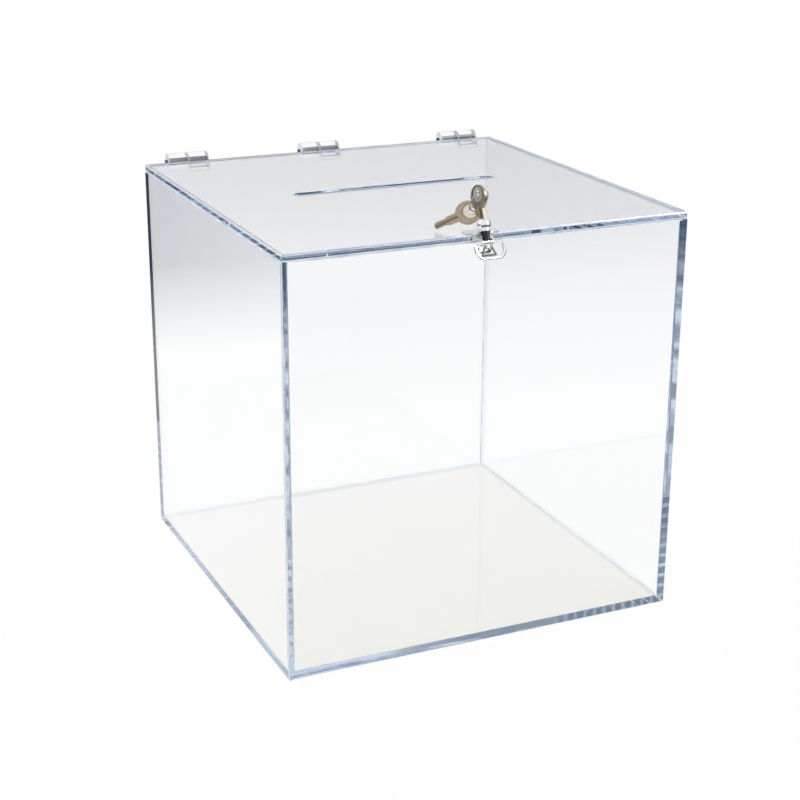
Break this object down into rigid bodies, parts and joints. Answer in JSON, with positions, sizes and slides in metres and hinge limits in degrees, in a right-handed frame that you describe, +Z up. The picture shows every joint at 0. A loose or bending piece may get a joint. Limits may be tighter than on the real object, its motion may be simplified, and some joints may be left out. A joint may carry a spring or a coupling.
{
  "type": "ballot box",
  "caption": "Clear square box with a slotted lid on barrel hinges at the back, a small key lock leaning on a bracket at the lid's front edge, and a spare key on a ring.",
  "frame": {"origin": "centre of the box's underside, on the surface it stands on", "axes": "+X to the right along the front wall, +Y from the lock at the front to the hinges at the back, +Z up"},
  "size_m": [0.3048, 0.3301, 0.3345],
  "materials": {
    "clear_acrylic": "clear polished sheet",
    "steel_pin": "plain",
    "chrome": "polished",
    "dark_steel": "darkened",
    "nickel_key": "nickel plated",
    "steel_wire": "bright wire"
  },
  "bodies": {
    "box": {"front_panel": "clear_acrylic", "back_panel": "clear_acrylic", "left_panel": "clear_acrylic", "right_panel": "clear_acrylic", "base_panel": "clear_acrylic", "box_knuckle_left": "clear_acrylic", "box_knuckle_middle": "clear_acrylic", "box_knuckle_right": "clear_acrylic", "hinge_pin_left": "steel_pin", "hinge_pin_middle": "steel_pin", "hinge_pin_right": "steel_pin"},
    "lid": {"lid": "clear_acrylic", "lid_knuckle_left": "clear_acrylic", "lid_knuckle_middle": "clear_acrylic", "lid_knuckle_right": "clear_acrylic", "hasp_bracket": "chrome", "bracket_screws": "chrome"},
    "latch": {"latch_arm": "dark_steel", "wire_pull": "chrome", "lock_barrel": "chrome"},
    "plug": {"lock_plug": "chrome", "cam_sleeve": "chrome", "lock_cam": "dark_steel"},
    "key": {"key_in_lock": "nickel_key"},
    "ring": {"key_ring": "steel_wire"},
    "spare": {"spare_key": "nickel_key"}
  },
  "joints": [
    {"name": "lid_hinge", "type": "hinge", "parent": "box", "child": "lid", "pos_m": [0, 0.15905, 0.30236], "axis": [-1, 0, 0], "range_deg": [0, 235]},
    {"name": "arm_swing", "type": "hinge", "parent": "lid", "child": "latch", "pos_m": [-0.0095, -0.1588, 0.29846], "axis": [1, 0, 0], "range_deg": [0, 44]},
    {"name": "plug_turn", "type": "hinge", "parent": "latch", "child": "plug", "pos_m": [-0.0095, -0.1588, 0.29846], "axis": [0, 0.4384, 0.8988], "range_deg": [0, 90]},
    {"name": "key_slide", "type": "slide", "parent": "plug", "child": "key", "axis": [0, 0.4384, 0.8988], "range_m": [0, 0.012]},
    {"name": "ring_swing", "type": "hinge", "parent": "key", "child": "ring", "pos_m": [-0.0095, -0.14398, 0.32884], "axis": [0.89, 0.1119, 0.4421], "range_deg": [0, 12]},
    {"name": "spare_swing", "type": "hinge", "parent": "ring", "child": "spare", "pos_m": [-0.0109, -0.13857, 0.3157], "axis": [0.8015, 0.4543, -0.3889], "range_deg": [0, 22]}
  ]
}
